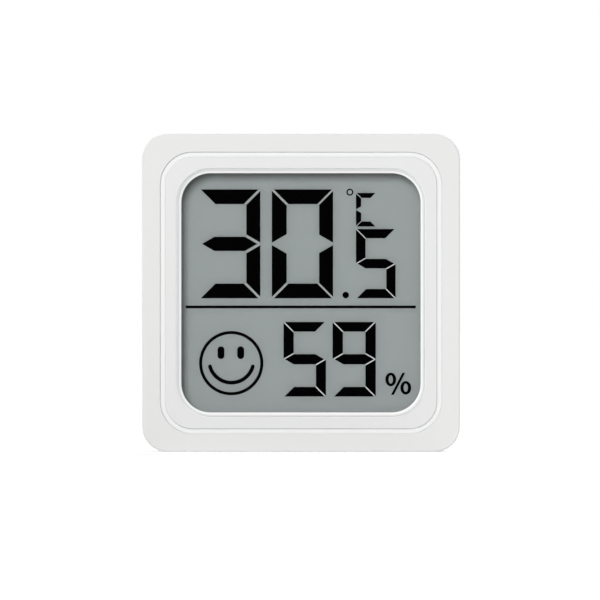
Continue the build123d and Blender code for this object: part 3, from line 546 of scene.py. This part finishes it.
def ringStrip(centre, radii, width, start=0.0, sweep=360.0, steps=96, widthTop=None, roundEnds=False,
              layer=figureLayer):
    # A flat band along an ellipse: the middle line is centre + (a cos t, b sin t), and the section is as wide
    # as width at the sides, widthTop at the top and bottom, and shrinks as a circle does at round ends, where
    # this share of the width squared is left
    leastShare = 0.0004
    full = sweep >= 360
    t = np.linspace(0, 1, steps, endpoint=not full)
    angle = np.radians(start + sweep * t)
    a, b = radii
    wide = np.full_like(t, width)
    if widthTop is not None:
        wide = width + (widthTop - width) * np.sin(angle) ** 2
    if roundEnds:
        arc = np.radians(sweep) * (a + b) / 2
        toEnd = np.minimum(t, 1 - t) * arc
        inside = np.clip(1 - toEnd / (width / 2), 0, 1)
        wide = width * np.sqrt(np.clip(1 - inside ** 2, leastShare, 1))
    c, s = np.cos(angle), np.sin(angle)
    outerX, outerZ = centre[0] + (a + wide / 2) * c, centre[1] + (b + wide / 2) * s
    innerX, innerZ = centre[0] + (a - wide / 2) * c, centre[1] + (b - wide / 2) * s
    near, far = np.full_like(t, layer[0]), np.full_like(t, layer[1])
    ring = [(outerX, far, outerZ), (innerX, far, innerZ), (innerX, near, innerZ), (outerX, near, outerZ)]
    rings = np.stack([np.stack(corner, axis=-1) for corner in ring], axis=1)
    return closedTube(rings, loop=full)


def disc(centre, radii, straight=0.0, steps=48, layer=figureLayer):
    # A flat round or long dot: the edge is centre + (a cos t, b sin t) with its halves moved apart by
    # straight, laid out as strips from its foot to its head
    t = np.linspace(-math.pi / 2, math.pi / 2, steps)
    a, b = radii
    half = np.maximum(a * np.cos(t), bluntEnd)
    along = centre[1] + b * np.sin(t) + np.where(t < 0, -straight / 2, straight / 2)
    return flatStrip(along, centre[0] - half, centre[0] + half, upright=True, layer=layer)


litSegments = {"0": "abcdef", "3": "abcdg", "5": "acdfg", "9": "abcdfg", "C": "adef"}
tipAngle = math.radians(30)
tipSlope = math.tan(tipAngle)


def ofHand(s, inward):
    # width, gap and slide of a side bar; inwards is to the right on the left side
    hand = "Left" if inward > 0 else "Right"
    return s["side" + hand], s["gap" + hand], s["slide" + hand]


def segmentShapes(mark, s):
    # A seven-segment mark. The bars meet on mitres, at 45 degrees at the corners and at 30 degrees at the
    # middle, and each bar stops half a gap short of its mitre. The slides move the mitres in along the level
    # bars, and tip takes a little more off both ends of the middle bar
    left, right = s["left"], s["left"] + s["width"]
    bottom, top = s["bottom"], s["bottom"] + s["height"]
    half = (bottom + top) / 2
    bar, middle = s["bar"], s["middle"]
    cornerLeft, cornerRight = s["gapLeft"] / math.sqrt(2), s["gapRight"] / math.sqrt(2)
    startLeft, startRight = cornerLeft + s["slideLeft"], cornerRight + s["slideRight"]

    def blunted(outer, inner, inward):
        # the two edges of a bar that ends in blunt points on its outer side, the lower one first
        edge = [outer + inward * bluntEnd, inner, inner, outer + inward * bluntEnd]
        return ([outer] * 4, edge) if inward > 0 else (edge, [outer] * 4)

    def level(outer, inward):
        # top or bottom bar: shorter by its own width at each end on the inner edge
        x = [left + startLeft, left + startLeft + bar, right - startRight - bar, right - startRight]
        return flatStrip(x, *blunted(outer, outer + inward * bar, inward))

    def upright(outer, inward, cornerEnd, middleEnd):
        # side bar: 45 degree mitre at the corner end, 30 degree mitre at the middle end
        side, gap, slide = ofHand(s, inward)
        corner = gap / math.sqrt(2)
        way = 1 if cornerEnd > middleEnd else -1
        point = gap / 2 / math.cos(tipAngle) - slide * tipSlope
        z = [middleEnd + way * point, middleEnd + way * (point + side * tipSlope),
             cornerEnd - way * (corner - slide + side), cornerEnd - way * (corner - slide)]
        return flatStrip(z[::way], *blunted(outer, outer + inward * side, inward), upright=True)

    def across():
        # middle bar: pointed at both ends
        reach = middle / 2 / tipSlope
        tipLeft = left + s["gapLeft"] + s["slideLeft"] + s["tip"]
        tipRight = right - s["gapRight"] - s["slideRight"] - s["tip"]
        wide = np.array([bluntEnd, middle / 2, middle / 2, bluntEnd])
        return flatStrip([tipLeft, tipLeft + reach, tipRight - reach, tipRight], half - wide, half + wide)

    made = {
        "a": lambda: level(top, -1), "d": lambda: level(bottom, 1), "g": across,
        "b": lambda: upright(right, -1, top, half), "c": lambda: upright(right, -1, bottom, half),
        "e": lambda: upright(left, 1, bottom, half), "f": lambda: upright(left, 1, top, half),
    }
    return joined([made[name]() for name in litSegments[mark]])


def mitrePaintedLightShapes(mark, s):
    # The fine pale lines in the gaps of a mark, along the mitres between lit bars: pieces that carry painted light
    left, right = s["left"], s["left"] + s["width"]
    bottom, top = s["bottom"], s["bottom"] + s["height"]
    half = (bottom + top) / 2
    lit = litSegments[mark]
    lines = []
    corners = {"af": (left, top, 1, -1), "ab": (right, top, -1, -1), "dc": (right, bottom, -1, 1),
               "de": (left, bottom, 1, 1)}
    for pair, (x, z, sx, sz) in corners.items():
        if pair[0] in lit and pair[1] in lit:
            gap, slide = ofHand(s, sx)[1:]
            run, inner = gap * lineStart, s["bar"]
            lines.append(slantStrip((x + sx * (run + slide), z + sz * run),
                                    (x + sx * (inner + slide), z + sz * inner), gap * s["line"]))
    middles = {"gf": (left, 1, 1), "ge": (left, 1, -1), "gb": (right, -1, 1), "gc": (right, -1, -1)}
    for pair, (x, sx, sz) in middles.items():
        if pair[0] in lit and pair[1] in lit:
            side, gap, slide = ofHand(s, sx)
            run, inner = gap * lineStart, side - slide
            lines.append(slantStrip((x + sx * (run + slide), half + sz * run * tipSlope),
                                    (x + sx * side, half + sz * inner * tipSlope), gap * s["line"]))
    return joined(lines)


# All the marks on the display, in millimetres: left from the middle, bottom above the underside. line is the
# share of a gap that its pale line of painted light takes, and lineStart how far from the outer edge the line
# begins, in gaps
lineStart = 0.35
displayMarks = {
    "temperature_tens": {
        "mark": "3", "pale": "wide", "line": 0.6, "left": -13.79, "bottom": 20.76, "width": 8.29, "height": 14.74,
        "bar": 1.99, "sideLeft": 1.97, "sideRight": 1.89, "middle": 1.93, "gapLeft": 0.32, "gapRight": 0.34,
        "slideLeft": 0.0, "slideRight": 0.02, "tip": 0.08,
    },
    "temperature_units": {
        "mark": "0", "pale": "wide", "line": 0.6, "left": -3.94, "bottom": 20.76, "width": 8.29, "height": 14.74,
        "bar": 1.99, "sideLeft": 2.01, "sideRight": 1.89, "middle": 1.93, "gapLeft": 0.32, "gapRight": 0.25,
        "slideLeft": 0.04, "slideRight": -0.03, "tip": 0.0,
    },
    "temperature_tenths": {
        "mark": "5", "pale": "fine", "line": 0.7, "left": 7.45, "bottom": 20.77, "width": 5.36, "height": 9.37,
        "bar": 1.25, "sideLeft": 1.29, "sideRight": 1.25, "middle": 1.28, "gapLeft": 0.13, "gapRight": 0.15,
        "slideLeft": 0.03, "slideRight": 0.04, "tip": 0.02,
    },
    "unit_letter": {
        "mark": "C", "pale": "fine", "line": 0.7, "left": 7.45, "bottom": 30.48, "width": 2.69, "height": 4.55,
        "bar": 0.68, "sideLeft": 0.70, "sideRight": 0.68, "middle": 0.68, "gapLeft": 0.07, "gapRight": 0.08,
        "slideLeft": 0.0, "slideRight": 0.0, "tip": 0.0,
    },
    "humidity_tens": {
        "mark": "5", "pale": "fine", "line": 0.7, "left": -2.36, "bottom": 7.465, "width": 5.75, "height": 10.09,
        "bar": 1.30, "sideLeft": 1.38, "sideRight": 1.36, "middle": 1.38, "gapLeft": 0.16, "gapRight": 0.17,
        "slideLeft": 0.02, "slideRight": 0.06, "tip": 0.02,
    },
    "humidity_units": {
        "mark": "9", "pale": "fine", "line": 0.7, "left": 4.28, "bottom": 7.465, "width": 5.85, "height": 10.09,
        "bar": 1.30, "sideLeft": 1.40, "sideRight": 1.40, "middle": 1.38, "gapLeft": 0.17, "gapRight": 0.17,
        "slideLeft": 0.09, "slideRight": 0.08, "tip": 0.01,
    },
}
displaySigns = {
    "decimal_point": {"centre": (6.06, 21.20), "radius": 0.44},
    "degree_ring": {"centre": (6.62, 35.13), "radius": 0.385, "stroke": 0.18},
    "divider_line": {"left": -15.61, "right": 15.56, "middle": 19.59, "stroke": 0.37},
    "percent_sign": {"ovals": [(12.16, 9.77), (14.19, 8.64)], "radii": (0.51, 0.74), "stroke": 0.45,
                     "strokeTop": 0.36, "slash": ((12.38, 7.69), (13.93, 10.68)), "slashStroke": 0.38},
    "comfort_face": {"centre": (-9.44, 11.98), "radius": 4.14, "stroke": 0.42, "eyes": (-10.83, -8.16),
                     "eyeHeight": 13.40, "eyeWidth": 0.93, "eyeLength": 1.71, "smileCentre": (-9.42, 12.35),
                     "smileRadius": 3.01, "smileStroke": 0.51, "smileStart": 190.5, "smileSweep": 159.0},
}
# Clear crystal in the gaps, painted as a pale line that stands for the lit film: painted light, brighter in the
# fine gaps
gapPaintedLightColours = {"fine": ("#D8DADA", "#D2D5D5"), "wide": ("#AEB0B0", "#A9ABAB")}


def makeFigures():
    dark = crystalMaterial("litCrystal", crystalSetup["dark"])
    pale = {kind: crystalMaterial(kind + "CrystalGapPaintedLight", tones) for kind, tones in gapPaintedLightColours.items()}
    made = []
    for name, m in displayMarks.items():
        sizes = {k: v if k in ("mark", "pale", "line") else v * mm for k, v in m.items()}
        made.append(addPiece(name, *segmentShapes(m["mark"], sizes), dark, "case", "reflector_film"))
        # the pale pieces in the gaps carry painted light
        gaps = mitrePaintedLightShapes(m["mark"], sizes)
        made.append(addPiece(name + "_gaps_painted_light", *gaps, pale[m["pale"]], "case", "reflector_film"))
    dot = displaySigns["decimal_point"]
    shapes = {"decimal_point": disc(scaled(dot["centre"]), [dot["radius"] * mm] * 2)}
    ring = displaySigns["degree_ring"]
    shapes["degree_ring"] = ringStrip(scaled(ring["centre"]), [ring["radius"] * mm] * 2,
                                      ring["stroke"] * mm)
    line = displaySigns["divider_line"]
    low, high = [(line["middle"] + s * line["stroke"] / 2) * mm for s in (-1, 1)]
    shapes["divider_line"] = flatStrip([line["left"] * mm, line["right"] * mm], [low] * 2, [high] * 2)
    sign = displaySigns["percent_sign"]
    ovals = [ringStrip(scaled(c), scaled(sign["radii"]), sign["stroke"] * mm,
                       widthTop=sign["strokeTop"] * mm, steps=64) for c in sign["ovals"]]
    foot, head = [scaled(p) for p in sign["slash"]]
    half = sign["slashStroke"] * mm / 2
    slash = flatStrip([foot[1], head[1]], [foot[0] - half, head[0] - half], [foot[0] + half, head[0] + half],
                      upright=True)
    shapes["percent_sign"] = joined(ovals + [slash])
    face = displaySigns["comfort_face"]
    parts = [ringStrip(scaled(face["centre"]), [face["radius"] * mm] * 2, face["stroke"] * mm, steps=128)]
    for x in face["eyes"]:
        r = face["eyeWidth"] / 2
        parts.append(disc((x * mm, face["eyeHeight"] * mm), (r * mm, r * mm), (face["eyeLength"] - 2 * r) * mm))
    parts.append(ringStrip(scaled(face["smileCentre"]), [face["smileRadius"] * mm] * 2,
                           face["smileStroke"] * mm, face["smileStart"], face["smileSweep"], roundEnds=True))
    shapes["comfort_face"] = joined(parts)
    for name, shape in shapes.items():
        made.append(addPiece(name, *shape, dark, "case", "reflector_film"))
    for piece in made:
        piece.visible_shadow = False  # the layer is thinner than its piece, so it throws no shadow on the film
    return len(made)


# Raised marks on the back, moulded with it: how the battery door turns, and which way up the cell goes
markSetup = {
    "axisUp": 27.6, "ring": 13.25, "dot": 0.45, "ringRadius": 0.42, "stroke": 0.22, "openTurn": 35.0,
    "arcFrom": 7.0, "arcTo": 24.0, "headTurn": 4.0, "headWidth": 1.0, "pointer": 10.7, "pointerHigh": 0.95,
    "pointerWide": 1.1, "plusDown": 5.6, "plusReach": 0.8, "plusStroke": 0.32, "tipShare": 0.02,
}


def makeMarks(cover, door):
    s = markSetup
    axis = (0.0, s["axisUp"] * mm)
    ring = s["ring"] * mm

    def place(turn, radius):
        # turn 0 is up, and it grows the way the door opens
        a = math.radians(turn)
        return axis[0] + radius * math.sin(a), axis[1] + radius * math.cos(a)

    # the arc's angles run the other way, from the right-hand level
    arc = ringStrip(axis, [ring, ring], s["stroke"] * mm, 90 - s["arcTo"], s["arcTo"] - s["arcFrom"], steps=32,
                    layer=markLayer)
    headFoot = np.array([place(s["arcTo"], ring)] * 2)
    headTip = np.array(place(s["arcTo"] + s["headTurn"], ring))
    side = np.array(place(s["arcTo"], ring + s["headWidth"] / 2 * mm)) - headFoot[0]
    foot = np.array([headFoot[0] + side, headFoot[0] - side])
    tipSide = side * s["tipShare"]
    corners = np.array([[foot[0], foot[1], foot[1], foot[0]],
                        [headTip + tipSide, headTip - tipSide, headTip - tipSide, headTip + tipSide]])
    depth = np.broadcast_to(np.array([markLayer[0], markLayer[0], markLayer[1], markLayer[1]]), (2, 4))
    head = closedTube(np.stack([corners[:, :, 0], depth, corners[:, :, 1]], axis=-1))
    shut = disc(place(0, ring), [s["dot"] * mm] * 2, layer=markLayer)
    openRing = ringStrip(place(s["openTurn"], ring), [s["ringRadius"] * mm] * 2, s["stroke"] * mm, steps=48,
                         layer=markLayer)
    addPiece("turning_marks", *joined([arc, head, shut, openRing]), cover, "case", "white_abs")
    low = axis[1] + (s["pointer"] - s["pointerHigh"]) * mm
    half = s["pointerWide"] / 2 * mm
    pointer = flatStrip([low, axis[1] + s["pointer"] * mm], [-half, -bluntEnd], [half, bluntEnd], upright=True,
                        layer=markLayer)
    middle = axis[1] - s["plusDown"] * mm
    reach, thin = s["plusReach"] * mm, s["plusStroke"] / 2 * mm
    level = flatStrip([-reach, reach], [middle - thin] * 2, [middle + thin] * 2, layer=markLayer)
    uprightLow = flatStrip([middle - reach, middle - thin], [-thin] * 2, [thin] * 2, upright=True, layer=markLayer)
    uprightHigh = flatStrip([middle + thin, middle + reach], [-thin] * 2, [thin] * 2, upright=True, layer=markLayer)
    addPiece("door_marks", *joined([pointer, level, uprightLow, uprightHigh]), door, "battery_door", "door_abs")


# Raised unit signs under the button, read from behind: a C and an F with their degree rings and a slash.
# Places are in millimetres from the middle of the line, to the reader's right and up
unitSetup = {
    "down": 3.4, "stroke": 0.17, "degreeRadius": 0.2, "degreeUp": 0.42, "degrees": (-1.9, 0.62),
    "letterC": (-1.12, 0.0), "radiiC": (0.42, 0.5), "openC": 100.0, "slashReach": 0.28, "slashUp": 0.62,
    "slashAt": -0.2, "stemF": (1.06, 1.23), "barsF": ((0.49, 1.75), (0.0, 1.62)), "halfHeight": 0.58,
    "thinShare": 0.8,
}


def makeUnitSigns(cover):
    s = unitSetup
    low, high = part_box("unit_button")
    middleX, middleZ = (low.x + high.x) / 2, (low.z + high.z) / 2 - s["down"] * mm
    stroke = s["stroke"] * mm
    thin = stroke * s["thinShare"]

    def at(right, up):
        return middleX - right * mm, middleZ + up * mm

    shapes = [ringStrip(at(right, s["degreeUp"]), [s["degreeRadius"] * mm] * 2, thin, steps=40, layer=markLayer)
              for right in s["degrees"]]
    shapes.append(ringStrip(at(*s["letterC"]), scaled(s["radiiC"]), stroke, 180 + s["openC"] / 2,
                            360 - s["openC"], steps=40, layer=markLayer))
    shapes.append(slantStrip(at(s["slashAt"] - s["slashReach"], -s["slashUp"]),
                             at(s["slashAt"] + s["slashReach"], s["slashUp"]), thin, layer=markLayer))
    stemFar, stemNear = [at(right, 0)[0] for right in s["stemF"][::-1]]
    foot, head = at(0, -s["halfHeight"])[1], at(0, s["halfHeight"])[1]
    shapes.append(flatStrip([foot, head], [stemFar] * 2, [stemNear] * 2, upright=True, layer=markLayer))
    for up, end in s["barsF"]:
        x, z = at(end, up)
        shapes.append(flatStrip([x, stemFar], [z - stroke / 2] * 2, [z + stroke / 2] * 2, layer=markLayer))
    addPiece("unit_signs", *joined(shapes), cover, "case", "white_abs")


# The two screws of the case: pan heads with a cross recess, rolled thread below. The counts are stations round
# the axis, along the head and its fillet, and along one turn of the thread
screwSetup = {
    "side": 17.9, "up": -17.9, "headRadius": 1.4, "headHeight": 0.9, "shankRadius": 0.8, "dome": 0.22,
    "threadDepth": 0.12, "threadPitch": 0.55, "threadStart": 0.05, "crossReach": 0.95, "crossWidth": 0.28,
    "crossDepth": 0.5, "crossWall": 0.07, "crossRunOut": 0.35, "fillet": 0.16, "innerRadius": 0.002,
    "tipLength": 1.0,
}
screwCounts = {"around": 96, "head": 34, "fillet": 6, "turn": 10}
screwShares = {"tipLeast": 0.02, "tipCore": 0.4}


def screwShape(centreX, centreZ, seatY, tipY):
    # A profile turned about the axis, on a grid of way along the profile x angle. On the head the height is a
    # shallow dome less the cross: its depth falls off with the distance from the nearer arm and from the
    # middle. On the shank the radius is the core plus a triangle wave of (height / pitch - angle / turn)
    s = {k: v * mm for k, v in screwSetup.items()}
    angle = np.linspace(0, 2 * math.pi, screwCounts["around"], endpoint=False)
    radius = np.linspace(s["innerRadius"], s["headRadius"] - s["fillet"], screwCounts["head"])
    r, t = np.meshgrid(radius, angle, indexing="ij")
    x, z = r * np.cos(t), r * np.sin(t)
    top = seatY + s["headHeight"] - s["dome"] * (r / s["headRadius"]) ** 2
    toArm = np.minimum(np.abs(x), np.abs(z))
    wall = np.clip((s["crossWidth"] / 2 + s["crossWall"] - toArm) / s["crossWall"], 0, 1)
    reach = np.clip((s["crossReach"] - r) / s["crossRunOut"], 0, 1)
    y = top - s["crossDepth"] * wall * reach
    bend = np.linspace(0, math.pi / 2, screwCounts["fillet"])[1:]
    rimY = seatY + s["headHeight"] - s["dome"] - s["fillet"]
    rimRadius = np.append(s["headRadius"] - s["fillet"] + s["fillet"] * np.sin(bend),
                          [s["headRadius"], s["shankRadius"]])
    rimHeight = np.append(rimY + s["fillet"] * np.cos(bend), [seatY, seatY])
    rimR, rimT = np.meshgrid(rimRadius, angle, indexing="ij")
    rimH = np.repeat(rimHeight[:, None], len(angle), axis=1)
    steps = int((seatY - tipY) / s["threadPitch"] * screwCounts["turn"])
    below = np.linspace(seatY - s["threadStart"], tipY, steps)
    h, shankT = np.meshgrid(below, angle, indexing="ij")
    phase = (h / s["threadPitch"] - shankT / (2 * math.pi)) % 1
    wave = 1 - np.abs(2 * phase - 1)
    taper = np.clip((h - tipY) / s["tipLength"], screwShares["tipLeast"], 1)
    core = s["shankRadius"] - s["threadDepth"]
    least = screwShares["tipCore"]
    shankR = core * (least + (1 - least) * taper) + s["threadDepth"] * wave * np.minimum(taper * 2, 1)
    allR = np.vstack([r, rimR, shankR])
    allT = np.vstack([t, rimT, shankT])
    allY = np.vstack([y, rimH, h])
    rings = np.stack([centreX + allR * np.cos(allT), allY, centreZ + allR * np.sin(allT)], axis=-1)
    return closedLathe(rings[::-1])


def makeScrews(material):
    low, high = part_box("case_screws")
    seatY = high.y - screwSetup["headHeight"] * mm
    vertices, faces, base = [], [], 0
    for side in (-1, 1):
        v, f = screwShape(side * screwSetup["side"] * mm, caseMiddle + screwSetup["up"] * mm, seatY, low.y)
        vertices.append(v)
        faces += [[n + base for n in face] for face in f]
        base += len(v)
    screws = addPiece("cross_head_screws", np.vstack(vertices), faces, material, "case", "screw_steel")
    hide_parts("case_screws")
    for polygon in screws.data.polygons:
        polygon.use_smooth = True


makeCamera()
makeLight()
makeFloor()
print("camera, light and floor set")
finishes = dressCadNodes()
print("CAD nodes dressed")
makeScrews(finishes["screwZinc"])
makeMarks(finishes["coverAbs"], finishes["doorAbs"])
makeUnitSigns(finishes["coverAbs"])
print("screws and marks made")
print("figures made:", makeFigures())
